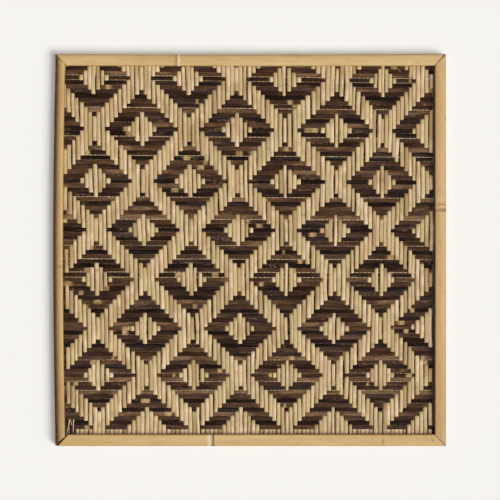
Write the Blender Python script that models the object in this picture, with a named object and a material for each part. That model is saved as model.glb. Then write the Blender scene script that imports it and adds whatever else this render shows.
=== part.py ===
"""A square wall screen: a mat woven from pale reeds and dark strips, held in a mitred bamboo frame.

The screen hangs with its back against a wall. +X is to the right, +Z up, and its front faces -Y.
The origin is on the wall face, at the middle of the top bar's back.
Run it with blender --background --python part.py, or from Blender's text editor.
"""

import math

import bmesh
import bpy
from mathutils import Matrix

MM = 0.001

# Frame of four split bamboo bars
SIDE = 600 * MM  # outer side of the square
BAR_WIDTH = 17 * MM
BAR_DEPTH = 16 * MM  # from the wall to the crown of the rounded skin
BAR_SHOULDER = 9.6 * MM  # height of the straight sides, where the round skin starts
CROWN_STEPS = 12
BAR_STATIONS = 11  # sections along a bar that carry its bow
MITRE_CLEARANCE = 0.3 * MM
HALF_SIDE = SIDE / 2
BAR_LINE = HALF_SIDE - BAR_WIDTH / 2  # from the screen's centre to a bar's middle line
CENTRE_Z = -BAR_LINE  # the screen's centre hangs this far below the origin
OPENING_HALF = HALF_SIDE - BAR_WIDTH

# Ring of a cane joint on a bar
RING_SWELL = 0.5 * MM
RING_REACH = 4.5 * MM  # from the ring's line to where the swelling ends
RING_LINE = 1.2 * MM  # half the width of the raised line itself

# Each bar: turn about Y in degrees, place of its ring along the bar, outward bow, and the
# extra shortening of its two ends. The top bar's own +X runs to the right, and the others
# follow it clockwise round the frame.
BARS = {
    "top_bamboo_bar": (0, -110 * MM, -1.2 * MM, 0.2 * MM, 0.6 * MM),
    "right_bamboo_bar": (90, -67 * MM, 0.3 * MM, 0.0, 0.2 * MM),
    "bottom_bamboo_bar": (180, 59 * MM, 0.0, 0.0, 3.3 * MM),
    "left_bamboo_bar": (270, -26 * MM, 2.4 * MM, 0.0, 0.0),
}

# Woven mat
REED_THICKNESS = 3.0 * MM
STRIP_THICKNESS = 1.2 * MM
REED_PITCH = 6.61 * MM  # across the mat
STRIP_PITCH = 6.88 * MM  # up the mat
MAT_PLANE = -6.0 * MM  # the weave's middle plane
MAT_GRIP = 5.0 * MM  # how far the mat's edges reach into the bars' grooves
GROOVE_DEPTH = 7.0 * MM
GAP = 0.3 * MM  # left free between pieces that touch
REED_HALF = 2.5 * MM  # from the middle plane to the outside of a reed that floats on it
STRIP_HALF = 1.7 * MM  # the same for a strip

# The figure of the weave: a twill of five over, five under, reversed every eleven strands
REVERSE = 11
FIGURE_CENTRE = (-18.6 * MM, 31.5 * MM)  # from the screen's centre
DARK_OUTER = 8.5  # strands from a figure's centre to the outside of its dark ring
DARK_INNER = 3.5  # strands to its inside
FLAT_MARGIN = 2.0 * MM  # plain border between the relief and the bars


def clear_scene():
    for thing in list(bpy.data.objects):
        bpy.data.objects.remove(thing, do_unlink=True)


def new_collection(name):
    collection = bpy.data.collections.new(name)
    bpy.context.scene.collection.children.link(collection)
    return collection


def plain_material(name, colour, roughness):
    material = bpy.data.materials.new(name)
    material.use_nodes = True
    shader = material.node_tree.nodes["Principled BSDF"]
    shader.inputs["Base Color"].default_value = (*colour, 1.0)
    shader.inputs["Roughness"].default_value = roughness
    shader.inputs["Metallic"].default_value = 0.0
    return material


def outline_object(name, outlines, half_depth):
    """A flat outline, filled and thickened both ways. Holes are outlines inside others."""
    curve = bpy.data.curves.new(name, "CURVE")
    curve.dimensions = "2D"
    curve.fill_mode = "BOTH"
    curve.extrude = half_depth
    for points in outlines:
        spline = curve.splines.new("POLY")
        spline.points.add(len(points) - 1)
        for point, (x, y) in zip(spline.points, points):
            point.co = (x, y, 0, 1)
        spline.use_cyclic_u = True
    thing = bpy.data.objects.new(name, curve)
    bpy.context.scene.collection.objects.link(thing)
    return thing


def welded_mesh(thing):
    """The object's shape as a closed mesh. The object itself is removed."""
    bpy.context.view_layer.update()
    evaluated = thing.evaluated_get(bpy.context.evaluated_depsgraph_get())
    mesh = bpy.data.meshes.new_from_object(evaluated)
    mesh.transform(thing.matrix_world)
    bpy.data.objects.remove(thing)
    shape = bmesh.new()
    shape.from_mesh(mesh)
    bmesh.ops.remove_doubles(shape, verts=shape.verts, dist=0.01 * MM)
    bmesh.ops.recalc_face_normals(shape, faces=shape.faces)
    shape.to_mesh(mesh)
    shape.free()
    return mesh


def place(name, mesh, collection, material=None):
    thing = bpy.data.objects.new(name, mesh)
    if material:
        mesh.materials.clear()
        mesh.materials.append(material)
    collection.objects.link(thing)
    return thing


def bar_outline():
    """Section of a bar, as (out, up): out from the screen's centre, up from the wall.
    It has a flat back, straight sides, a round skin and the groove that grips the mat."""
    half = BAR_WIDTH / 2
    crown = BAR_DEPTH - BAR_SHOULDER
    groove_low = -MAT_PLANE - REED_HALF - GAP
    groove_high = -MAT_PLANE + REED_HALF + GAP
    points = [(half, 0)]
    for step in range(CROWN_STEPS + 1):
        turn = math.pi * step / CROWN_STEPS
        points.append((half * math.cos(turn), BAR_SHOULDER + crown * math.sin(turn)))
    points += [
        (-half, groove_high),
        (-half + GROOVE_DEPTH, groove_high),
        (-half + GROOVE_DEPTH, groove_low),
        (-half, groove_low),
        (-half, 0),
    ]
    return points


def ring_swell(along, ring):
    """How far the skin stands out near a cane joint: a soft swelling with a raised line."""
    distance = abs(along - ring)
    if distance >= RING_REACH:
        return 0.0
    if distance <= RING_LINE:
        return RING_SWELL
    return RING_SWELL * 0.5 * (RING_REACH - distance) / (RING_REACH - RING_LINE)


def bar_mesh(ring, bow, start_short, end_short):
    """A bar that runs along X at the top of a screen whose centre is at the origin."""
    reach = HALF_SIDE + BAR_WIDTH
    blank = outline_object("bar_blank", [bar_outline()], reach)
    mesh = welded_mesh(blank)
    shape = bmesh.new()
    shape.from_mesh(mesh)
    for vertex in shape.verts:
        out, up, along = vertex.co
        vertex.co = (along, -up, BAR_LINE + out)

    inner_length = 2 * (OPENING_HALF - BAR_WIDTH)
    stations = [inner_length * (n / (BAR_STATIONS - 1) - 0.5) for n in range(BAR_STATIONS)]
    stations += [ring + d for d in (-RING_REACH, -RING_LINE, RING_LINE, RING_REACH)]
    for station in stations:
        bmesh.ops.bisect_plane(
            shape,
            geom=shape.verts[:] + shape.edges[:] + shape.faces[:],
            dist=0.001 * MM,
            plane_co=(station, 0, 0),
            plane_no=(1, 0, 0),
        )

    half = BAR_WIDTH / 2
    for vertex in shape.verts:
        along, depth, out = vertex.co
        if depth < -BAR_SHOULDER:
            rise = (-depth - BAR_SHOULDER) / (BAR_DEPTH - BAR_SHOULDER)
            vertex.co.y -= ring_swell(along, ring) * rise
            vertex.co.z += ring_swell(along, ring) * (out - BAR_LINE) / half * 0.5
        vertex.co.z += bow * (1 - (along / OPENING_HALF) ** 2) * (abs(along) < OPENING_HALF)
        if abs(along) > reach - MM:
            shortened = start_short if along < 0 else end_short
            vertex.co.x = math.copysign(out - MITRE_CLEARANCE - shortened, along)
    bmesh.ops.recalc_face_normals(shape, faces=shape.faces)
    shape.to_mesh(mesh)
    shape.free()
    return mesh


def make_bar(name, collection, material):
    turn, ring, bow, start_short, end_short = BARS[name]
    mesh = bar_mesh(ring, bow, start_short, end_short)
    mesh.transform(Matrix.Rotation(math.radians(turn), 4, "Y"))
    mesh.shade_smooth()
    mesh.set_sharp_from_angle(angle=math.radians(35))
    bar = place(name, mesh, collection, material)
    bar.location.z = CENTRE_Z
    return bar


def figure_centres():
    """Centres of the diamond figures whose dark rings reach into the opening."""
    across, up = REVERSE * REED_PITCH, REVERSE * STRIP_PITCH
    reach = int(SIDE / min(across, up)) + 1
    for column in range(-reach, reach + 1):
        for row in range(-reach, reach + 1):
            x = FIGURE_CENTRE[0] + column * across
            z = FIGURE_CENTRE[1] + row * up
            near_x = abs(x) - OPENING_HALF < DARK_OUTER * REED_PITCH
            near_z = abs(z) - OPENING_HALF < DARK_OUTER * STRIP_PITCH
            if (column + row) % 2 == 0 and near_x and near_z:
                yield x, z


def diamond(x, z, strands):
    across, up = strands * REED_PITCH, strands * STRIP_PITCH
    return [(x + across, z), (x, z + up), (x - across, z), (x, z - up)]


def dark_rings(name, nearest, furthest, collection):
    """The dark rings of all figures, as solids between two depths from the middle plane."""
    outlines = []
    for x, z in figure_centres():
        outlines += [diamond(x, z, DARK_OUTER), diamond(x, z, DARK_INNER)]
    field = outline_object(name, outlines, abs(furthest - nearest) / 2)
    field.rotation_euler.x = math.radians(90)
    field.location.y = MAT_PLANE + (nearest + furthest) / 2
    rings = place(name, welded_mesh(field), collection)
    window = OPENING_HALF - FLAT_MARGIN
    limit = make_slab(name + "_limit", window, MAT_PLANE - SIDE, MAT_PLANE + SIDE, collection)
    boolean(rings, limit, "INTERSECT")
    hide_cutter(rings)
    hide_cutter(limit)
    return rings


def make_slab(name, half, front, back, collection):
    """A square slab of the given half side between two depths."""
    mesh = bpy.data.meshes.new(name)
    shape = bmesh.new()
    bmesh.ops.create_cube(shape, size=1)
    for vertex in shape.verts:
        vertex.co.x *= 2 * half
        vertex.co.z *= 2 * half
        vertex.co.y = front if vertex.co.y < 0 else back
    shape.to_mesh(mesh)
    shape.free()
    return place(name, mesh, collection)


def boolean(thing, other, operation):
    modifier = thing.modifiers.new(operation.lower(), "BOOLEAN")
    modifier.operation = operation
    modifier.object = other
    modifier.solver = "EXACT"


def hide_cutter(thing):
    thing.hide_render = True
    thing.display_type = "WIRE"


def make_mat(collection, cutters, material):
    """The mat as one solid. Reeds are thicker than strips, so it stands out at the front
    where reeds float there, and at the back in the dark rings, where they float behind."""
    half = OPENING_HALF + MAT_GRIP
    mat = make_slab("woven_mat", half, MAT_PLANE - REED_HALF, MAT_PLANE + STRIP_HALF, collection)
    mat.data.materials.append(material)
    sunk = dark_rings("sunk_rings", -STRIP_HALF, -2 * REED_HALF, cutters)
    raised = dark_rings("raised_rings", STRIP_HALF - STRIP_THICKNESS, REED_HALF, cutters)
    boolean(mat, sunk, "DIFFERENCE")
    boolean(mat, raised, "UNION")
    for thing in (mat, *cutters.objects):
        thing.location.z = CENTRE_Z
    return mat


def main():
    clear_scene()
    parts = new_collection("woven_bamboo_screen")
    cutters = new_collection("cutters")
    bamboo = plain_material("bamboo", (0.56, 0.37, 0.17), 0.42)
    reed = plain_material("reed_mat", (0.42, 0.31, 0.18), 0.65)
    for name in BARS:
        make_bar(name, parts, bamboo)
    make_mat(parts, cutters, reed)


main()
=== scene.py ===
"""Looks of the woven bamboo wall screen: every reed and strip woven, the bamboo bars, light and camera."""

import math

import bpy
import numpy as np
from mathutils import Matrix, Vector


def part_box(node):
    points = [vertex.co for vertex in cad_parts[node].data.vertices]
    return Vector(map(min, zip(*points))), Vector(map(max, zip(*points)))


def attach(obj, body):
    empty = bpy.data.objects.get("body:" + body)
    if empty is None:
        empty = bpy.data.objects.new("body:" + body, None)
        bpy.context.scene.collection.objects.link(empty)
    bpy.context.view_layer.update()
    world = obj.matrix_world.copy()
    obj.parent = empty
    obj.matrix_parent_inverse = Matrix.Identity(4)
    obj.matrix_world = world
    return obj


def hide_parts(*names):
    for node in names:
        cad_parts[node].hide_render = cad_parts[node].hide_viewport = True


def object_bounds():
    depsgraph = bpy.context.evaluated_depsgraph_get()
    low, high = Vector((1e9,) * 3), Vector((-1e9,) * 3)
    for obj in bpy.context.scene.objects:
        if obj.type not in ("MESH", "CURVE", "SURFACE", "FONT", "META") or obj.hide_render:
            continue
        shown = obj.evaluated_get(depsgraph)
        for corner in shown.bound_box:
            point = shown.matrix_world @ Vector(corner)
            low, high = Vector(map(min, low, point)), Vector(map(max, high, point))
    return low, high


MM = 0.001
BODY = "root"
RANDOM_SEED = 7

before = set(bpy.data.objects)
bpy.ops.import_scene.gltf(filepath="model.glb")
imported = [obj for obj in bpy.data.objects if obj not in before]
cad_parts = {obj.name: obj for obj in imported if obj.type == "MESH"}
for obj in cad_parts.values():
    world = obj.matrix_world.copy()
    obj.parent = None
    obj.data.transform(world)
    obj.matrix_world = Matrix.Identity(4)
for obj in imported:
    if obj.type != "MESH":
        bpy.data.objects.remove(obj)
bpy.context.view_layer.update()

# The frame of bars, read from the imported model. Places on the mat are measured from its centre.
MAT_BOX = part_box("woven_mat")
CENTRE = Vector((0.0, 0.0, (MAT_BOX[0].z + MAT_BOX[1].z) / 2))
MAT_GRIP_HALF = (MAT_BOX[1].x - MAT_BOX[0].x) / 2
BAR_GRIP = 5.0 * MM  # how far the mat reaches into the bars
OPENING_HALF = MAT_GRIP_HALF - BAR_GRIP
BAR_LINE = -CENTRE.z  # from the centre to a bar's middle line
BAR_WIDTH = 2 * (BAR_LINE - OPENING_HALF)
BAR_DEPTH = 16.0 * MM
BAR_SHOULDER = 9.6 * MM  # how far out the straight sides go before the round skin begins
WALL_GAP = 1.0 * MM

# The weave is a point twill of five over, five under, reversed every eleven strands. Columns number
# the reeds to the right, and rows number the strips downwards, from the centre of one figure.
TWILL = 10
FLOAT = 5
REVERSE = 11
LAST_TURN = 44  # past this strand the twill runs on without reversing
FIGURE_X = -17.8 * MM
FIGURE_Z = 30.7 * MM
REED_FIRST = -40
REED_LAST = 45
STRIP_FIRST = -36
STRIP_LAST = 45
MAT_PLANE = -6.0 * MM  # the depth of the mat's middle
GROUPS = 6  # pieces that the reeds, and the strips, are gathered in

# Where the reeds stand
REED_PITCH = 6.60 * MM
REED_LEAN = (0.0145, 0.02, 0.0105, 0.003, -0.004)  # their slope at the places below
LEAN_PLACES = np.array([-240, -100, 20, 100, 240]) * MM
BULGE_X = 147 * MM  # reeds round here stand further right, more so at the top
BULGE_HALF = 62 * MM
BULGE_PUSH = 3.0 * MM
BULGE_SLOPE = 0.0125
PULL_PLACES = np.array([190, 230, 246, 253, 279]) * MM  # reeds at these places stand
PULLS = np.array([0, 1.2, 1.2, 2.8, 2.0]) * MM  # this much further left
REED_REACH = 4.5 * MM  # how far past the opening a reed's ends go
REED_EDGE_GAP = 1.2 * MM  # the first reed keeps this far from the mat's left edge

# Where the strips lie
STRIP_PITCH = 6.89 * MM
STRIP_PITCH_CHANGE = 0.00444 * MM  # they lie closer towards the bottom
STRIP_DROP = 0.9 * MM  # they all lie this much lower,
STRIP_WAVE = 1.05 * MM  # and lower and higher by this in waves down the mat
STRIP_WAVELENGTH = 205 * MM
STRIP_TILT = 0.012  # their slope at the top, less further down
STRIP_LIFT = 3.0 * MM  # near the right bar, round LIFT_Z, they lie up to this much higher
LIFT_Z = -122 * MM
LIFT_RUN = 32 * MM
LIFT_FROM = 170 * MM  # the lift sets in between these places
LIFT_TO = 245 * MM
STRIP_START_GAP = 0.6 * MM  # they start this far from the mat's left edge
STRIP_END_RIGHT = 280.4 * MM  # and stop short of the right bar, each a little differently
STRIP_END_SPREAD = (-0.6, 0.4)

# The strands' own shapes, and how far each swings from the mat's middle plane
REED_WIDTH = 6.5 * MM
REED_HALF_THICK = 1.5 * MM
REED_SWING = 1.0 * MM
REED_SQUARENESS = 0.78  # 1 is an ellipse, 0 a box
REED_SIDES = 12
REED_MOST_SPREAD = 1.1  # where reeds stand apart they widen by this at the most
STRIP_HALF_THICK = 0.45 * MM
STRIP_SWING = 1.0 * MM
STRIP_SQUARENESS = 0.5
STRIP_SIDES = 10
SLIM_REEDS = (0.12, (0.74, 0.87), (0.93, 1.06))  # chance of a slim one, slim and usual widths
SLIM_STRIPS = (0.22, (0.82, 0.89), (0.97, 1.02))
FRAYED = 2  # this many reeds on the left are broken thin near the bottom
FRAY_TOP = -262 * MM
FRAY_RUN = 6 * MM
FRAY_LEFT = 0.22  # the share of their width that is left
CROSSOVER = 1.3 * MM  # half the length in which a strand changes sides
CROSSOVER_STEPS = (-1.0, -0.45, 0.0, 0.45, 1.0)
END_RISE = 2.0 * MM  # the mat rides up against the bottom bar
RISE_FROM = -258 * MM
RISE_RUN = 16 * MM

# How unevenly the strands lie
COMMON_DRIFT = 0.9 * MM  # sideways, shared by neighbouring reeds
OWN_DRIFT = 0.38 * MM  # sideways, each reed by itself
SMALL_DRIFT = 0.12 * MM
STRIP_DRIFT = 0.2 * MM
LONG_FLOAT = 9 * STRIP_PITCH  # a float longer than this bows sideways
FLOAT_BOW = 0.7 * MM
REED_PATCHES = (0.7, 2.2 * MM, 0.5)  # dark patches a strand, half length and strength
STRIP_PATCHES = (1.6, 3.6 * MM, 0.9)  # the same for the pale patches of the strips
GOLDEN = 0.618  # the shading seed moves on by this from strand to strand, so that neighbours differ
SEED_SPREAD = 83.0  # how far apart the seeds 0 and 1 lie in the noise


# ---------------------------------------------------------------- materials


def linear(red, green, blue):
    """A colour given as 0 to 255, for a shader socket."""

    def channel(value):
        value /= 255
        return value / 12.92 if value <= 0.04045 else ((value + 0.055) / 1.055) ** 2.4

    return (channel(red), channel(green), channel(blue), 1.0)


class Nodes:
    """Short calls for building a material's node tree."""

    def __init__(self, name):
        self.material = bpy.data.materials.new(name)
        self.material.use_nodes = True
        self.tree = self.material.node_tree
        self.shader = self.tree.nodes["Principled BSDF"]

    def new(self, kind, **settings):
        node = self.tree.nodes.new(kind)
        for key, value in settings.items():
            setattr(node, key, value)
        return node

    def feed(self, socket, value):
        if isinstance(value, bpy.types.NodeSocket):
            self.tree.links.new(value, socket)
        else:
            socket.default_value = value

    def attribute(self, name):
        return self.new("ShaderNodeAttribute", attribute_name=name).outputs["Fac"]

    def maths(self, operation, first, second=0.0):
        node = self.new("ShaderNodeMath", operation=operation)
        self.feed(node.inputs[0], first)
        self.feed(node.inputs[1], second)
        return node.outputs[0]

    def place(self, along, across, third):
        node = self.new("ShaderNodeCombineXYZ")
        self.feed(node.inputs[0], along)
        self.feed(node.inputs[1], across)
        self.feed(node.inputs[2], third)
        return node.outputs[0]

    def noise(self, vector, detail=3.0, rough=0.55):
        node = self.new("ShaderNodeTexNoise")
        self.feed(node.inputs["Vector"], vector)
        node.inputs["Scale"].default_value = 1.0
        node.inputs["Detail"].default_value = detail
        node.inputs["Roughness"].default_value = rough
        return node.outputs["Fac"]

    def ramp(self, value, stops):
        node = self.new("ShaderNodeValToRGB")
        ramp = node.color_ramp
        for _ in range(len(stops) - 2):
            ramp.elements.new(0.5)
        for element, (position, colour) in zip(ramp.elements, stops):
            element.position = position
            element.color = colour
        self.feed(node.inputs[0], value)
        return node.outputs[0]

    def span(self, value, low, high, to_low=0.0, to_high=1.0):
        """Maps low..high of the value to the given span, held at its ends."""
        node = self.new("ShaderNodeMapRange", clamp=True)
        self.feed(node.inputs[0], value)
        for socket, number in zip(node.inputs[1:5], (low, high, to_low, to_high)):
            socket.default_value = number
        return node.outputs[0]

    def mix(self, amount, first, second, blend="MIX"):
        node = self.new("ShaderNodeMix", data_type="RGBA", blend_type=blend)
        self.feed(node.inputs[0], amount)
        self.feed(node.inputs[6], first)
        self.feed(node.inputs[7], second)
        return node.outputs[2]

    def grey(self, value):
        """A single value as a neutral colour."""
        node = self.new("ShaderNodeCombineColor")
        for socket in node.inputs[:3]:
            self.feed(socket, value)
        return node.outputs[0]

    def bump(self, height, distance, strength):
        node = self.new("ShaderNodeBump")
        node.inputs["Strength"].default_value = strength
        node.inputs["Distance"].default_value = distance
        self.feed(node.inputs["Height"], height)
        self.feed(self.shader.inputs["Normal"], node.outputs[0])

    def finish(self, colour, roughness):
        self.feed(self.shader.inputs["Base Color"], colour)
        self.feed(self.shader.inputs["Roughness"], roughness)
        return self.material


def strand_coordinates(nodes, along_scale, across_scale, offset=0.0):
    """Noise coordinates that run along a strand and differ from strand to strand.
    Each layer of a material has its own offset, so that its noise is its own."""
    along = nodes.maths("MULTIPLY", nodes.attribute("along"), along_scale)
    across = nodes.maths("MULTIPLY", nodes.attribute("across"), across_scale)
    third = nodes.maths("MULTIPLY", nodes.attribute("seed"), SEED_SPREAD)
    third = nodes.maths("ADD", third, offset)
    return nodes.place(along, across, third)


def reed_material():
    nodes = Nodes("peeled_reed")
    # each reed's own tone, which drifts along it
    drift = nodes.noise(strand_coordinates(nodes, 15.0, 0.0), detail=1.0)
    tone = nodes.maths("ADD", nodes.attribute("seed"), nodes.span(drift, 0.3, 0.7, -0.36, 0.36))
    colour = nodes.ramp(
        tone,
        [
            (0.0, linear(172, 141, 95)),
            (0.2, linear(200, 172, 124)),
            (0.38, linear(192, 168, 118)),
            (0.5, linear(214, 187, 140)),
            (0.66, linear(201, 169, 124)),
            (0.82, linear(226, 198, 158)),
            (1.0, linear(188, 156, 109)),
        ],
    )
    # fibres, dark splits, spots, stained patches, and painted shade darkening each reed's left side, away
    # from the light
    fibre = nodes.noise(strand_coordinates(nodes, 30.0, 5.0, 3.0), detail=4.0, rough=0.7)
    streak = nodes.span(fibre, 0.33, 0.66, 0.68, 1.14)
    colour = nodes.mix(1.0, colour, nodes.grey(streak), "MULTIPLY")
    split = nodes.noise(strand_coordinates(nodes, 7.0, 2.6, 9.0), detail=2.0)
    split = nodes.span(split, 0.32, 0.38, 0.6, 0.0)
    colour = nodes.mix(split, colour, linear(132, 98, 58))
    spots = nodes.noise(strand_coordinates(nodes, 160.0, 1.6, 17.0), detail=3.0)
    spots = nodes.span(spots, 0.68, 0.78, 0.0, 0.6)
    colour = nodes.mix(spots, colour, linear(150, 112, 72))
    colour = nodes.mix(nodes.attribute("dark"), colour, linear(120, 84, 50))
    # painted shade: each reed is darker on its left side, the side turned from the light
    left = nodes.span(nodes.attribute("across"), -0.9, 0.1, 0.34, 0.0)
    colour = nodes.mix(left, colour, linear(128, 100, 54))
    nodes.shader.inputs["Specular IOR Level"].default_value = 0.4
    nodes.bump(fibre, 0.25 * MM, 0.6)
    return nodes.finish(colour, nodes.span(fibre, 0.3, 0.7, 0.34, 0.52))


def strip_material():
    nodes = Nodes("dark_strip")
    # each strip's own tone, from nearly black to tan, which drifts along it
    drift = nodes.noise(strand_coordinates(nodes, 17.0, 0.25), detail=2.0)
    tone = nodes.maths("ADD", nodes.attribute("seed"), nodes.span(drift, 0.3, 0.7, -0.26, 0.26))
    colour = nodes.ramp(
        tone,
        [
            (0.0, linear(23, 12, 5)),
            (0.25, linear(38, 23, 13)),
            (0.45, linear(53, 34, 23)),
            (0.62, linear(66, 43, 29)),
            (0.78, linear(79, 53, 36)),
            (0.92, linear(96, 68, 47)),
            (1.0, linear(122, 92, 66)),
        ],
    )
    # fibres, a coarser grain, and edges in shade
    fibre = nodes.noise(strand_coordinates(nodes, 26.0, 7.0, 5.0), detail=5.0, rough=0.72)
    streak = nodes.span(fibre, 0.32, 0.68, 0.6, 1.4)
    colour = nodes.mix(1.0, colour, nodes.grey(streak), "MULTIPLY")
    grain = nodes.noise(strand_coordinates(nodes, 60.0, 1.7, 41.0), detail=2.0)
    grain = nodes.span(grain, 0.34, 0.66, 0.62, 1.4)
    colour = nodes.mix(1.0, colour, nodes.grey(grain), "MULTIPLY")
    side = nodes.maths("ABSOLUTE", nodes.attribute("across"))
    colour = nodes.mix(nodes.span(side, 0.74, 0.98, 0.0, 0.75), colour, linear(18, 10, 5))
    # painted sheen in greyer stretches, rough bark with tan crumbs, and worn pale patches
    # painted sheen: greyer stretches stand for the glossy bark reflecting the light
    painted_sheen = nodes.noise(strand_coordinates(nodes, 9.0, 0.8, 53.0), detail=2.0)
    colour = nodes.mix(nodes.span(painted_sheen, 0.54, 0.70, 0.0, 0.6), colour, linear(62, 57, 57))
    mottle = nodes.noise(strand_coordinates(nodes, 260.0, 1.3, 11.0), detail=3.0, rough=0.6)
    rough_bark = nodes.noise(strand_coordinates(nodes, 16.0, 0.4, 29.0), detail=1.0)
    rough_bark = nodes.span(rough_bark, 0.60, 0.68, 0.0, 0.42)
    bark = nodes.maths("MULTIPLY", nodes.span(mottle, 0.46, 0.62), rough_bark)
    colour = nodes.mix(bark, colour, linear(162, 124, 92))
    worn = nodes.span(mottle, 0.35, 0.55, 0.25, 1.0)
    pale = nodes.maths("MULTIPLY", nodes.attribute("pale"), worn)
    colour = nodes.mix(pale, colour, linear(208, 172, 118))
    nodes.shader.inputs["Specular IOR Level"].default_value = 0.06
    nodes.bump(nodes.maths("ADD", fibre, mottle), 0.2 * MM, 0.7)
    return nodes.finish(colour, nodes.span(fibre, 0.3, 0.7, 0.5, 0.72))


def bamboo_material():
    nodes = Nodes("bamboo_skin")
    # broad tones, fibres and small specks
    broad = nodes.noise(strand_coordinates(nodes, 5.0, 0.5), detail=2.0)
    colour = nodes.ramp(
        broad,
        [
            (0.3, linear(194, 161, 103)),
            (0.5, linear(202, 170, 114)),
            (0.7, linear(210, 179, 125)),
        ],
    )
    fibre = nodes.noise(strand_coordinates(nodes, 14.0, 16.0, 5.0), detail=4.0, rough=0.65)
    streak = nodes.span(fibre, 0.3, 0.7, 0.86, 1.1)
    colour = nodes.mix(1.0, colour, nodes.grey(streak), "MULTIPLY")
    specks = nodes.noise(strand_coordinates(nodes, 330.0, 3.2, 13.0), detail=1.0)
    specks = nodes.span(specks, 0.74, 0.80, 0.0, 0.55)
    colour = nodes.mix(specks, colour, linear(128, 78, 48))
    # a bar's seed is its tint: how far it goes towards orange
    tint = nodes.span(nodes.attribute("seed"), 0.0, 1.0)
    colour = nodes.mix(tint, colour, nodes.mix(0.75, colour, linear(201, 156, 104)))
    # blotches, the wood behind the groove painted nearly black as painted shade where the mat's ends leave
    # gaps, the pale and dark marks of the ring and scars, and painted shade on the sides and cut ends
    blotch = nodes.noise(strand_coordinates(nodes, 38.0, 1.4, 21.0), detail=3.0, rough=0.6)
    colour = nodes.mix(nodes.span(blotch, 0.5, 0.72, 0.0, 0.35), colour, linear(168, 130, 78))
    # painted shade: the wood behind the groove, seen through the gaps at the mat's ends, is painted nearly
    # black
    inner = nodes.span(nodes.attribute("across"), -GAP_SHADE_FROM, -GAP_SHADE_FROM - 0.05)
    colour = nodes.mix(inner, colour, linear(30, 18, 8))
    # the pale share carries the pale marks, and on the right bar a painted highlight
    uneven = nodes.noise(strand_coordinates(nodes, 420.0, 2.6, 31.0), detail=2.0)
    pale_share = nodes.span(uneven, 0.34, 0.6, 0.35, 1.1)
    pale = nodes.maths("MULTIPLY", nodes.attribute("pale"), pale_share)
    colour = nodes.mix(pale, colour, linear(246, 232, 212))
    # the dark share carries the ring's bands and the scars, and also painted shade on the bars' sides and
    # cut ends
    dark_share = nodes.span(uneven, 0.34, 0.6, 0.8, 1.05)
    dark = nodes.maths("MULTIPLY", nodes.attribute("dark"), dark_share)
    colour = nodes.mix(dark, colour, linear(92, 57, 33))
    nodes.shader.inputs["Specular IOR Level"].default_value = 0.25
    nodes.bump(fibre, 0.15 * MM, 0.4)
    return nodes.finish(colour, nodes.span(fibre, 0.3, 0.7, 0.34, 0.5))


def stage_material(name, glow):
    """Pale and plain, seen only from its front, so that it never hides the screen's back."""
    nodes = Nodes(name)
    nodes.shader.inputs["Emission Color"].default_value = GLOW_COLOUR
    nodes.shader.inputs["Emission Strength"].default_value = glow
    nodes.shader.inputs["Base Color"].default_value = FLOOR_COLOUR
    nodes.shader.inputs["Roughness"].default_value = 1.0
    nodes.shader.inputs["Specular IOR Level"].default_value = 0.0
    back = nodes.new("ShaderNodeNewGeometry").outputs["Backfacing"]
    seen = nodes.new("ShaderNodeLightPath").outputs["Is Camera Ray"]
    hidden = nodes.maths("SUBTRACT", 1.0, seen)
    hidden = nodes.maths("MAXIMUM", hidden, back)
    clear = nodes.new("ShaderNodeBsdfTransparent")
    blend = nodes.new("ShaderNodeMixShader")
    nodes.feed(blend.inputs[0], hidden)
    nodes.feed(blend.inputs[1], nodes.shader.outputs[0])
    nodes.feed(blend.inputs[2], clear.outputs[0])
    nodes.feed(nodes.tree.nodes["Material Output"].inputs["Surface"], blend.outputs[0])
    return nodes.material


# ---------------------------------------------------------------- lofted strands


UV_BAND = (0.08, 0.92)  # the share of its own row of the UV square that a strand fills
SHARP_DEGREES = 50


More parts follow.
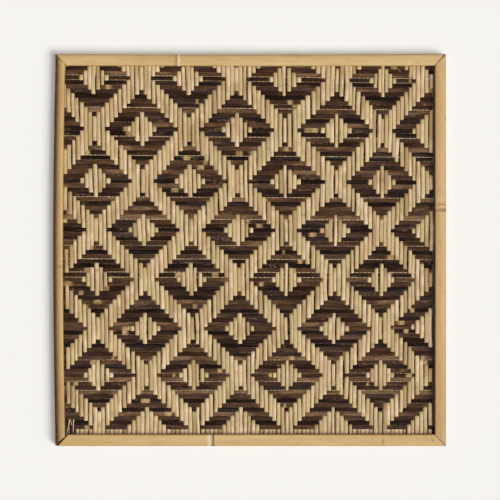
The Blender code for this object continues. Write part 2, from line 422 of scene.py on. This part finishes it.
class Loft:
    """Gathers strands, each a row of closed rings, into one mesh with its shading attributes."""

    def __init__(self, strands):
        self.strands = strands
        self.points = []
        self.faces = []
        self.uvs = []
        self.values = {"along": [], "across": [], "seed": [], "pale": [], "dark": []}
        self.count = 0
        self.done = 0

    def add(self, rings, along, across, seed, pale, dark):
        """rings is (stations, sides, 3), along and across have one value a station and a side,
        and pale and dark are numbers or one for each point."""
        stations, sides, _ = rings.shape
        self.points.append(rings.reshape(-1, 3))
        for name, value in (("along", along[:, None]), ("pale", pale), ("dark", dark)):
            self.values[name].append(np.broadcast_to(value, (stations, sides)).ravel())
        self.values["across"].append(np.tile(across, stations))
        self.values["seed"].append(np.full(stations * sides, seed))
        row = np.arange(stations - 1)[:, None] * sides
        here = np.arange(sides)[None, :]
        following = (here + 1) % sides
        quads = np.stack([row + here, row + following, row + sides + following, row + sides + here], -1)
        quads = quads.reshape(-1, 4) + self.count
        self.faces += quads.tolist()
        u = (along - along[0]) / (along[-1] - along[0])
        band = (self.done + np.array(UV_BAND)) / self.strands
        v = band[0] + (band[1] - band[0]) * np.arange(sides + 1) / sides
        u0 = np.repeat(u[:-1], sides)
        u1 = np.repeat(u[1:], sides)
        v0 = np.tile(v[:-1], stations - 1)
        v1 = np.tile(v[1:], stations - 1)
        loops = np.stack([u0, v0, u0, v1, u1, v1, u1, v0], -1).reshape(-1, 2)
        self.uvs.append(loops)
        for start, end_u in ((0, 0.0), ((stations - 1) * sides, 1.0)):
            cap = list(range(self.count + start, self.count + start + sides))
            self.faces.append(cap[::-1] if start == 0 else cap)
            cap_v = v[:-1][::-1] if start == 0 else v[:-1]
            self.uvs.append(np.stack([np.full(sides, end_u), cap_v], -1))
        self.count += stations * sides
        self.done += 1

    def piece(self, name, material, replaced):
        mesh = bpy.data.meshes.new(name)
        points = np.concatenate(self.points) + np.array(CENTRE)
        mesh.from_pydata(points.tolist(), [], self.faces)
        mesh.update()
        for key, values in self.values.items():
            attribute = mesh.attributes.new(key, "FLOAT", "POINT")
            attribute.data.foreach_set("value", np.concatenate(values).astype(np.float32))
        layer = mesh.uv_layers.new(name="OFBake")
        layer.data.foreach_set("uv", np.concatenate(self.uvs).astype(np.float32).ravel())
        mesh.shade_smooth()
        mesh.set_sharp_from_angle(angle=math.radians(SHARP_DEGREES))
        mesh.materials.append(material)
        thing = bpy.data.objects.new(name, mesh)
        bpy.context.scene.collection.objects.link(thing)
        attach(thing, BODY)
        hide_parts(*replaced)


def squircle(sides, exponent):
    """Points round a closed section, between an ellipse (1) and a box (0), as (across, up)."""
    angle = 2 * math.pi * (np.arange(sides) + 0.5) / sides
    across = np.sign(np.cos(angle)) * np.abs(np.cos(angle)) ** exponent
    up = np.sign(np.sin(angle)) * np.abs(np.sin(angle)) ** exponent
    return across, up


# ---------------------------------------------------------------- weave


def turn(strand):
    """A strand's place in the reversing twill, counted from the figure's centre."""
    if strand > LAST_TURN:
        return LAST_TURN - strand
    step = strand % (2 * REVERSE)
    return min(step, 2 * REVERSE - step)


def reed_on_top(column, row):
    return (turn(column) + turn(row) + 1) % TWILL < FLOAT


def reed_x(column, z):
    """The place across the mat of a reed's middle line, at a height."""
    x = FIGURE_X + REED_PITCH * column
    lean = np.interp(x, LEAN_PLACES, REED_LEAN)
    bulge = math.exp(-(((x - BULGE_X) / BULGE_HALF) ** 4))
    pull = float(np.interp(x, PULL_PLACES, PULLS))
    return x - pull - lean * z + bulge * (BULGE_PUSH + BULGE_SLOPE * z)


def strip_z(row, x):
    """The height of a strip's middle line, at a place across the mat."""
    z = FIGURE_Z - STRIP_PITCH * row + STRIP_PITCH_CHANGE * row * row
    z = z - STRIP_DROP + STRIP_WAVE * np.cos(2 * math.pi * z / STRIP_WAVELENGTH)
    near = np.clip((x - LIFT_FROM) / (LIFT_TO - LIFT_FROM), 0, 1)
    lift = STRIP_LIFT * near**2 * (3 - 2 * near) * np.exp(-(((z - LIFT_Z) / LIFT_RUN) ** 2))
    return z + lift - STRIP_TILT * x * (0.5 + z / (2 * OPENING_HALF)) ** 2


def wander(draw, places, size, wavelengths):
    """A smooth random side-to-side drift along a strand."""
    drift = np.zeros_like(places)
    for wavelength in wavelengths:
        phase = draw.uniform(0, 2 * math.pi)
        length = wavelength * draw.uniform(0.75, 1.35)
        drift += draw.uniform(0.4, 1.0) * np.sin(2 * math.pi * places / length + phase)
    return size * drift / len(wavelengths)


def stations_of(start, end, edges, changed):
    """Places along a strand: one at each crossing's middle and edge, more where it changes sides."""
    spots = [start]
    middles = (edges[1:] + edges[:-1]) / 2
    for index, middle in enumerate(middles):
        spots.append(middle)
        if index + 1 < len(middles):
            edge = edges[index + 1]
            if changed[index]:
                spots += [edge + step * CROSSOVER for step in CROSSOVER_STEPS]
            else:
                spots.append(edge)
    spots.append(end)
    spots = np.unique(np.clip(np.array(spots), start, end))
    return spots[np.diff(spots, prepend=start - 1) > 0.01 * MM]


def side_profile(places, edges, sides):
    """+1 where the strand is in front and -1 behind, passing smoothly at each change of side."""
    profile = np.full_like(places, sides[0])
    for edge, before, after in zip(edges[1:-1], sides[:-1], sides[1:]):
        if before != after:
            step = np.clip((places - edge) / (2 * CROSSOVER) + 0.5, 0, 1)
            profile += (after - before) * step * step * (3 - 2 * step)
    return profile


def patches(draw, places, chance, size, strength):
    """Rare soft-edged patches along a strand, from 0 to strength."""
    amount = np.zeros_like(places)
    for _ in range(draw.poisson(chance)):
        middle = draw.uniform(places[0], places[-1])
        half = size * draw.uniform(0.5, 1.6)
        edge = np.clip((half - np.abs(places - middle)) / (0.25 * half) + 0.5, 0, 1)
        amount = np.maximum(amount, strength * draw.uniform(0.6, 1.0) * edge)
    return amount


def common_drift(x, z):
    """Sideways drift that neighbouring reeds share, where the weave was beaten unevenly."""
    first = np.sin(2 * math.pi * (z / 0.083 + x / 0.21))
    second = np.sin(2 * math.pi * (z / 0.047 - x / 0.13))
    third = np.sin(2 * math.pi * (z / 0.131 - x / 0.057 + 0.3))
    return COMMON_DRIFT * (first + second + third) / 3


def float_drift(draw, x, places, centres, sides):
    """Sideways drift of one reed. It changes course where strips hide it, and a long float bows."""
    hidden = [places[0], *(z for z, side in zip(centres, sides) if side < 0), places[-1]]
    runs = np.split(np.array(hidden), np.flatnonzero(np.diff(hidden) > 1.5 * STRIP_PITCH) + 1)
    knots = np.array([run.mean() for run in runs])
    offsets = common_drift(x, knots) + draw.normal(0, OWN_DRIFT, len(knots))
    drift = np.interp(places, knots, offsets)
    for start, end in zip(knots[:-1], knots[1:]):
        if end - start > LONG_FLOAT:
            part = np.clip((places - start) / (end - start), 0, 1)
            drift += draw.normal(0, FLOAT_BOW) * np.sin(math.pi * part) ** 2
    return drift + wander(draw, places, SMALL_DRIFT, (0.05, 0.02))


def end_rise(z):
    """How far the mat stands out more than elsewhere, against the bottom bar."""
    return END_RISE * np.clip((RISE_FROM - z) / RISE_RUN, 0, 1)


def edges_between(centres, pitch):
    """The lines between a strand's crossings, and one past each end."""
    inner = (centres[1:] + centres[:-1]) / 2
    return np.concatenate([[centres[0] - pitch / 2], inner, [centres[-1] + pitch / 2]])


def own_width(draw, chance, slim, usual):
    """How wide a strand is against the rest: now and then a slim one."""
    return draw.uniform(*slim) if draw.random() < chance else draw.uniform(*usual)


def apart(draw, number):
    """A random seed from 0 to 1 that keeps away from those of the neighbouring strands."""
    return (GOLDEN * number + draw.uniform(-0.16, 0.16)) % 1.0


def make_reed(draw, column, loft, rows):
    x_middle = float(reed_x(column, 0.0))
    rows = rows[::-1]
    centres = np.array([strip_z(row, x_middle) for row in rows])
    edges = edges_between(centres, STRIP_PITCH)
    sides = np.array([1.0 if reed_on_top(column, row) else -1.0 for row in rows])
    end = OPENING_HALF + REED_REACH
    places = stations_of(-end, end, edges, sides[1:] != sides[:-1])
    x = reed_x(column, places) + float_drift(draw, x_middle, places, centres, sides)
    x = np.maximum(x, -MAT_GRIP_HALF + REED_EDGE_GAP)
    depth = MAT_PLANE - REED_SWING * side_profile(places, edges, sides) - end_rise(places)
    slim = own_width(draw, *SLIM_REEDS)
    spacing = (reed_x(column + 0.5, places) - reed_x(column - 0.5, places)) / REED_PITCH
    width = REED_WIDTH * slim * np.minimum(spacing, REED_MOST_SPREAD)
    width = width * (1 + wander(draw, places, 0.07, (0.16, 0.05)))
    if column < REED_FIRST + FRAYED:
        width *= np.clip((places - FRAY_TOP) / FRAY_RUN, FRAY_LEFT, 1)
    thick = REED_HALF_THICK * (1 + wander(draw, places, 0.05, (0.2, 0.07)))
    across, up = squircle(REED_SIDES, REED_SQUARENESS)
    slope = np.gradient(depth, places)
    size = np.sqrt(1 + slope**2)
    rings = np.empty((len(places), REED_SIDES, 3))
    rings[..., 0] = x[:, None] + width[:, None] / 2 * across
    rings[..., 1] = depth[:, None] - (thick / size)[:, None] * up
    rings[..., 2] = places[:, None] + (thick * slope / size)[:, None] * up
    dark = patches(draw, places, *REED_PATCHES)[:, None]
    loft.add(rings, places, across, apart(draw, column), 0.0, dark)


def make_strip(draw, row, loft, columns):
    start = -MAT_GRIP_HALF + STRIP_START_GAP
    end = STRIP_END_RIGHT + draw.uniform(*STRIP_END_SPREAD) * MM
    z_middle = float(strip_z(row, 0.0))
    centres = np.array([reed_x(column, z_middle) for column in columns])
    edges = edges_between(centres, REED_PITCH)
    sides = np.array([-1.0 if reed_on_top(column, row) else 1.0 for column in columns])
    places = stations_of(start, end, edges, sides[1:] != sides[:-1])
    spacing = strip_z(row - 0.5, places) - strip_z(row + 0.5, places)
    slim = own_width(draw, *SLIM_STRIPS)
    aside = (1 - slim) / 2 * spacing * draw.choice((-1, 1))  # a slim strip lies against a neighbour
    z = strip_z(row, places) + aside + wander(draw, places, STRIP_DRIFT, (0.23, 0.09))
    depth = MAT_PLANE - STRIP_SWING * side_profile(places, edges, sides) - end_rise(z)
    width = spacing * slim * (1 + wander(draw, places, 0.03, (0.2, 0.06)))
    across, up = squircle(STRIP_SIDES, STRIP_SQUARENESS)
    slope = np.gradient(depth, places)
    size = np.sqrt(1 + slope**2)
    rings = np.empty((len(places), STRIP_SIDES, 3))
    rings[..., 0] = places[:, None] + (STRIP_HALF_THICK * slope / size)[:, None] * up
    rings[..., 1] = depth[:, None] - (STRIP_HALF_THICK / size)[:, None] * up
    rings[..., 2] = z[:, None] - width[:, None] / 2 * across
    pale = patches(draw, places, *STRIP_PATCHES)[:, None]
    loft.add(rings, places, across, apart(draw, row), pale, 0.0)


def make_group(name, make, draw, members, others, material):
    """One piece of neighbouring strands, made by the given strand function."""
    loft = Loft(len(members))
    for member in members.tolist():
        make(draw, member, loft, others)
    loft.piece(name, material, ["woven_mat"])


def make_weave():
    draw = np.random.default_rng(RANDOM_SEED)
    reeds = list(range(REED_FIRST, REED_LAST + 1))
    strips = list(range(STRIP_FIRST, STRIP_LAST + 1))
    reed = reed_material()
    strip = strip_material()
    for number, members in enumerate(np.array_split(reeds, GROUPS), 1):
        make_group(f"reeds_{number}", make_reed, draw, members, strips, reed)
    for number, members in enumerate(np.array_split(strips, GROUPS), 1):
        make_group(f"strips_{number}", make_strip, draw, members, reeds, strip)


# Frayed fibres that lie on the mat: start (x, z), end (x, z) and thickness, in millimetres
FIBRES = [
    ((-276.7, -259.5), (-282.4, -284.5), 1.9),
    ((-270.4, -259.5), (-270.4, -284.5), 1.7),
    ((-275.2, -260.5), (-272.4, -272.5), 0.9),
    ((225.4, 278.2), (232.8, 271.4), 0.35),
    ((230.2, 277.0), (226.8, 273.5), 0.3),
]
FIBRE_REST = MAT_PLANE - 2.3 * MM  # the depth that their ends lie at
FIBRE_ARCH = 0.4 * MM  # their middles stand out by this
FIBRE_CURVE = 0.05  # they curve sideways by up to this share of their length
FIBRE_TAPER = 0.45  # and lose this share of their thickness
FIBRE_TONE = 0.82  # a pale place in the reeds' range of tones
FIBRE_SIDES = 8
FIBRE_STATIONS = 12


def make_fibres():
    draw = np.random.default_rng(RANDOM_SEED + 2)
    loft = Loft(len(FIBRES))
    across, up = squircle(FIBRE_SIDES, 1.0)
    for start, end, thickness in FIBRES:
        part = np.linspace(0, 1, FIBRE_STATIONS)[:, None]
        path = np.array(start) * MM * (1 - part) + np.array(end) * MM * part
        run = path[-1] - path[0]
        length = float(np.hypot(*run))
        side = np.array([-run[1], run[0]]) / length
        path = path + side * (FIBRE_CURVE * length * draw.uniform(-1, 1) * np.sin(math.pi * part))
        half = thickness * MM / 2 * (1 - FIBRE_TAPER * part**2)
        rings = np.empty((FIBRE_STATIONS, FIBRE_SIDES, 3))
        rings[..., 0] = path[:, :1] + side[0] * half * across
        rings[..., 1] = FIBRE_REST - half * up - FIBRE_ARCH * np.sin(math.pi * part)
        rings[..., 2] = path[:, 1:] + side[1] * half * across
        loft.add(rings, part[:, 0] * length, across, FIBRE_TONE, 0.0, 0.0)
    loft.piece("frayed_fibres", bpy.data.materials["peeled_reed"], ["woven_mat"])


# ---------------------------------------------------------------- bamboo bars

# Each bar, with lengths in millimetres. The top bar's own +X runs right, and each following bar's
# is turned clockwise by "turn". Its skin stands further out by "shift", and by "bow" more at its
# middle, and is "round" on its outer side (1 is an ellipse, 0 a box). Over the mat the skin reaches
# in by "overlap", and the wood behind the groove by "lip" more. Its front stops "short" of the
# mitre at each end. "tint" is how orange it is, and the darkness of its inner and outer sides is
# painted shade on those sides.
# "ring" is the place of its cane joint. Each of its "marks" is a band round the bar (offset from the
# ring, half width, pale, dark), and each of its "scars" a spot (place, side from -1 inner to 1
# outer, half length, half width of the bar's 1, dark).
BARS = {
    "top_bamboo_bar": {
        "turn": 0,
        "shift": 0.0,
        "bow": -0.6,
        "round": 0.55,
        "overlap": 1.0,
        "lip": 0.0,
        "short": (1.9, 0.6),
        "tint": 0.15,
        "side_shade": (0.0, 0.06),
        "ring": -110,
        "marks": [(1.1, 1.7, 0.62, 0), (-3.1, 2.4, 0, 0.4), (3.4, 0.7, 0, 0.14)],
        "scars": [
            (-121.0, 0.5, 2.2, 0.3, 0.3),
            (-125.0, 0.2, 1.6, 0.3, 0.2),
            (279.0, 0.1, 0.7, 0.12, 0.5),
        ],
    },
    "right_bamboo_bar": {
        "turn": 90,
        "shift": 0.0,
        "bow": 0.3,
        "round": 0.85,
        "overlap": 0.5,
        "lip": 5.0,
        "short": (0.0, 0.2),
        "tint": 0.55,
        "side_shade": (0.3, 0.0),
        "ring": -67,
        "marks": [
            (-3.0, 1.1, 0, 0.6),
            (5.0, 2.4, 0, 0.6),
            (7.3, 1.2, 0, 0.85),
            # this pale band is a painted highlight, where the light glints on the skin
            (-11, 4.0, 0.16, 0),
            (-45, 60, 0.07, 0),
            (337, 130, 0, 0.24),
        ],
        "scars": [
            (-200.7, 1.0, 2.4, 0.25, 0.8),
            (64.0, 0.3, 2.5, 0.3, 0.2),
            (-250.0, 0.0, 0.8, 0.1, 0.5),
        ],
    },
    "bottom_bamboo_bar": {
        "turn": 180,
        "shift": 0.0,
        "bow": 0.0,
        "round": 0.55,
        "overlap": 1.2,
        "lip": 9.0,
        "short": (0.0, 5.2),
        "tint": 0.35,
        "side_shade": (0.0, 0.03),
        "ring": 59,
        "marks": [(-2.6, 1.8, 0, 1.0), (2.9, 3.0, 0.62, 0)],
        "scars": [
            (-203.6, 0.1, 0.7, 0.9, 0.6),
            (-203.0, 0.2, 2.2, 0.25, 0.75),
            (-277.0, 0.0, 1.0, 0.15, 0.7),
        ],
    },
    "left_bamboo_bar": {
        "turn": 270,
        "shift": -1.9,
        "bow": 3.4,
        "round": 0.95,
        "overlap": -1.9,
        "lip": 0.0,
        "short": (0.0, 0.0),
        "tint": 0.6,
        "side_shade": (0.0, 0.97),
        "ring": -26,
        "marks": [
            (1.8, 2.4, 0, 0.32),
            (-1.0, 0.9, 0, 0.45),
            (9.5, 0.8, 0, 0.3),
            (-235, 45, 0, 0.26),
            (270, 25, 0, 0.16),
        ],
        "scars": [],
    },
}
BAR_STEP = 2.5 * MM
RING_STEPS = np.linspace(-9, 9, 37) * MM  # finer steps round a bar's ring
SPOT_STEPS = np.linspace(-3, 3, 13) * MM  # and round its marks and scars
CROWN_SIDES = 28
INNER_ROUNDNESS = 0.22  # the inner edge is split nearly square
EDGE_ROUND = 0.8 * MM
GROOVE_LOW = 3.2 * MM
GROOVE_HIGH = 8.8 * MM
GROOVE_DEPTH = 7.0 * MM
RING_RIDGE = 0.45 * MM  # the ring is a narrow ridge
RING_RIDGE_HALF = 1.3 * MM
RING_SWELL = 0.25 * MM  # on a wider swelling, which also
RING_SWELL_HALF = 5.0 * MM
SIDE_SWELL = 0.4  # widens the bar by this share
BAR_WANDER = 0.12 * MM
MITRE_CLEARANCE = 0.1 * MM
MITRE_CLOSED = 2.0 * MM  # mitres are closed this far from the back, and open fully over the next
MITRE_OPENING = 7.0 * MM
MITRE_SHADE_RUN = 0.5 * MM  # the painted shade of the cut ends fades out in this
# how dark the cut ends are painted: painted shade for the shadow in the mitres
END_SHADE = 0.9
END_SHARPNESS = 60  # how close to a bar's ends its sections turn towards the mitre
LIP_EDGE = 0.1 * MM
LIP_ACROSS = -1.3  # what the wood behind the groove says for its place across the bar
GAP_SHADE_FROM = 1.15  # from this place inwards the bamboo is painted nearly black: painted shade in the gaps at the mat's ends


def bar_outline(roundness, lip, overlap):
    """A bar's section as (out, up): a flat back, straight sides, the round skin and the groove."""
    half = BAR_WIDTH / 2
    inner = -half - overlap
    crown = BAR_DEPTH - BAR_SHOULDER
    points = [(half - EDGE_ROUND, 0.0), (half, EDGE_ROUND), (half, BAR_SHOULDER * 0.5)]
    for step in range(CROWN_SIDES + 1):
        angle = math.pi * step / CROWN_SIDES
        power = roundness if math.cos(angle) > 0 else INNER_ROUNDNESS
        out = half * math.copysign(abs(math.cos(angle)) ** power, math.cos(angle))
        out -= overlap * max(0.0, -math.cos(angle)) ** power
        points.append((out, BAR_SHOULDER + crown * abs(math.sin(angle)) ** power))
    groove_floor = -half + GROOVE_DEPTH
    points += [(inner, GROOVE_HIGH), (groove_floor, GROOVE_HIGH), (groove_floor, GROOVE_LOW)]
    if lip > 0:
        points.append((inner - LIP_EDGE, GROOVE_LOW))
    points += [(inner - lip, GROOVE_LOW), (inner - lip, EDGE_ROUND), (inner - lip + EDGE_ROUND, 0.0)]
    return np.array(points)


def bar_places(bar):
    """Places along a bar, from -1 to 1, closer round its ring, marks, scars and the painted shade of its
    cut ends.
    """
    ring = bar["ring"] * MM
    spots = [ring + mark[0] * MM for mark in bar["marks"]]
    spots += [scar[0] * MM for scar in bar["scars"]]
    fine = [ring + RING_STEPS] + [spot + SPOT_STEPS for spot in spots]
    plain = np.linspace(-1, 1, int(2 * OPENING_HALF / BAR_STEP))
    end_shade_edge = 1 - MITRE_SHADE_RUN / OPENING_HALF
    places = np.concatenate([plain, [-1.0, -end_shade_edge, end_shade_edge, 1.0], *[f / OPENING_HALF for f in fine]])
    return np.unique(np.round(np.clip(places, -1, 1), 5))


def bar_swell(draw, bar, line):
    """How much thicker a bar is along its length."""
    distance = np.abs(line - bar["ring"] * MM)
    swell = RING_RIDGE * np.exp(-((distance / RING_RIDGE_HALF) ** 2))
    swell += RING_SWELL * np.exp(-((distance / RING_SWELL_HALF) ** 2))
    swell += wander(draw, line, BAR_WANDER, (0.19, 0.07))
    return swell[:, None]


def bar_rings(bar, places, out, up, swell):
    """A bar's sections as rings of points, in the whole screen's frame."""
    half = BAR_WIDTH / 2
    line = places * OPENING_HALF
    bow = (bar["shift"] + bar["bow"] * (1 - (line / OPENING_HALF) ** 2)) * MM
    open_mitre = np.clip((up - MITRE_CLOSED) / MITRE_OPENING, 0, 1)[None, :]
    short = np.where(line[:, None] < 0, bar["short"][0], bar["short"][1]) * MM * open_mitre
    length = BAR_LINE + np.maximum(out, -half)[None, :] - (short + MITRE_CLEARANCE)
    at_end = np.abs(places) ** END_SHARPNESS
    rise = np.clip((up - BAR_SHOULDER) / (BAR_DEPTH - BAR_SHOULDER), 0, 1)
    along = line[:, None] + (np.sign(line) * at_end)[:, None] * (length - OPENING_HALF)
    away = BAR_LINE + out[None, :] + bow[:, None] + (swell * SIDE_SWELL) * (out / half)[None, :]
    angle = math.radians(bar["turn"])
    rings = np.empty((len(line), len(out), 3))
    rings[..., 0] = along * math.cos(angle) + away * math.sin(angle)
    rings[..., 1] = -(up[None, :] + swell * rise[None, :])
    rings[..., 2] = away * math.cos(angle) - along * math.sin(angle)
    return rings


def bar_shades(bar, line, out):
    """How pale and how dark each point of a bar is: its marks and scars, a painted highlight, and painted
    shade on its sides and cut ends.
    """
    pale = np.zeros_like(line)
    dark = np.zeros_like(line)
    for offset, width, to_pale, to_dark in bar["marks"]:
        amount = np.exp(-(((line - bar["ring"] * MM - offset * MM) / (width * MM)) ** 2))
        pale = np.maximum(pale, to_pale * amount)
        dark = np.maximum(dark, to_dark * amount)
    sideways = np.clip(out / (BAR_WIDTH / 2), -1, 1)[None, :]
    # painted shade on the inner and outer sides
    inner_shade, outer_shade = bar["side_shade"]
    side_shade = inner_shade * np.clip(0.2 - sideways, 0, 1)
    side_shade = side_shade + outer_shade * np.clip(0.5 + 0.91 * sideways, 0, 1) ** 1.1
    dark = np.maximum(dark[:, None], side_shade)
    for place, side, long, wide, to_dark in bar["scars"]:
        away_from = ((line - place * MM) / (long * MM)) ** 2
        amount = np.exp(-away_from[:, None] - ((sideways - side) / wide) ** 2)
        dark = np.maximum(dark, to_dark * amount)
    # painted shade on the cut ends, for the shadow in the mitres
    dark[[0, -1]] = END_SHADE
    return np.broadcast_to(pale[:, None], dark.shape), dark


def make_bar(draw, name, material):
    bar = BARS[name]
    out, up = bar_outline(bar["round"], bar["lip"] * MM, bar["overlap"] * MM).T
    places = bar_places(bar)
    line = places * OPENING_HALF
    rings = bar_rings(bar, places, out, up, bar_swell(draw, bar, line))
    half = BAR_WIDTH / 2
    behind = out < -half - bar["overlap"] * MM - LIP_EDGE / 2
    across = np.where(behind, LIP_ACROSS, out / half)
    loft = Loft(1)
    loft.add(rings, line, across, bar["tint"], *bar_shades(bar, line, out))
    loft.piece(name.replace("bamboo_bar", "bar_skin"), material, [name])


def make_bars():
    draw = np.random.default_rng(RANDOM_SEED + 1)
    bamboo = bamboo_material()
    for name in BARS:
        make_bar(draw, name, bamboo)


# ---------------------------------------------------------------- stage, light and camera

STAGE_SIZE = 6.0
FLOOR_GLOW = 0.55  # the lights come from low down, so the floor shines a little to look pale
FLOOR_DROP = 0.12  # the floor is this far below the screen
CAMERA_DISTANCE = 1.81
PICTURE_WIDTH = 0.7660  # what the picture spans at the depth of the bars' shoulders
LENS = 85.0
FLOOR_COLOUR = (0.866, 0.849, 0.822, 1.0)  # of the floor and the wall alike
GLOW_COLOUR = (1.0, 0.985, 0.96, 1.0)
SKY_COLOUR = (1.0, 0.99, 0.97, 1.0)
SKY_LIGHT = 0.12  # how strongly the surroundings light the screen
SKY_SEEN = 0.9  # and how bright they look to the camera
# The suns: name, direction, strength, and the angle in degrees that softens their shadows
SUNS = [
    ("key", (-0.87, 1.0, 0.57), 2.912, 36),
    ("front", (0.0, 1.0, 0.0), 0.95, 20),
    ("behind", (0.2, -1.0, -0.4), 2.2, 40),
]


def make_stage():
    half = STAGE_SIZE / 2
    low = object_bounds()[0].z - FLOOR_DROP
    high = low + half
    front = -half
    planes = {
        "wall": (0.0, [(WALL_GAP, low), (WALL_GAP, high)]),
        "floor": (FLOOR_GLOW, [(front, low), (WALL_GAP, low)]),
    }
    for name, (glow, ((y1, z1), (y2, z2))) in planes.items():
        points = [(-half, y1, z1), (half, y1, z1), (half, y2, z2), (-half, y2, z2)]
        mesh = bpy.data.meshes.new(name)
        mesh.from_pydata(points, [], [(0, 1, 2, 3)])
        mesh.materials.append(stage_material(name, glow))
        thing = bpy.data.objects.new(name, mesh)
        bpy.context.scene.collection.objects.link(thing)


def make_sun(name, direction, strength, angle):
    light = bpy.data.lights.new(name, "SUN")
    light.energy = strength
    light.angle = math.radians(angle)
    thing = bpy.data.objects.new(name, light)
    thing.rotation_euler = Vector(direction).to_track_quat("-Z", "Y").to_euler()
    bpy.context.scene.collection.objects.link(thing)


def make_world():
    world = bpy.data.worlds.new("studio")
    bpy.context.scene.world = world
    world.use_nodes = True
    nodes = world.node_tree.nodes
    background = nodes["Background"]
    background.inputs["Color"].default_value = SKY_COLOUR
    seen = nodes.new("ShaderNodeLightPath").outputs["Is Camera Ray"]
    strength = nodes.new("ShaderNodeMapRange")
    strength.inputs["To Min"].default_value = SKY_LIGHT
    strength.inputs["To Max"].default_value = SKY_SEEN
    world.node_tree.links.new(seen, strength.inputs["Value"])
    world.node_tree.links.new(strength.outputs[0], background.inputs["Strength"])


def make_camera():
    camera = bpy.data.cameras.new("camera")
    camera.lens = LENS
    camera.sensor_width = LENS * PICTURE_WIDTH / (CAMERA_DISTANCE - BAR_SHOULDER)
    thing = bpy.data.objects.new("camera", camera)
    thing.location = (0.0, -CAMERA_DISTANCE, CENTRE.z)
    thing.rotation_euler = (math.radians(90), 0, 0)
    bpy.context.scene.collection.objects.link(thing)
    bpy.context.scene.camera = thing
    bpy.context.scene.view_settings.view_transform = "Standard"


make_camera()
make_weave()
make_fibres()
make_bars()
make_stage()
for sun in SUNS:
    make_sun(*sun)
make_world()
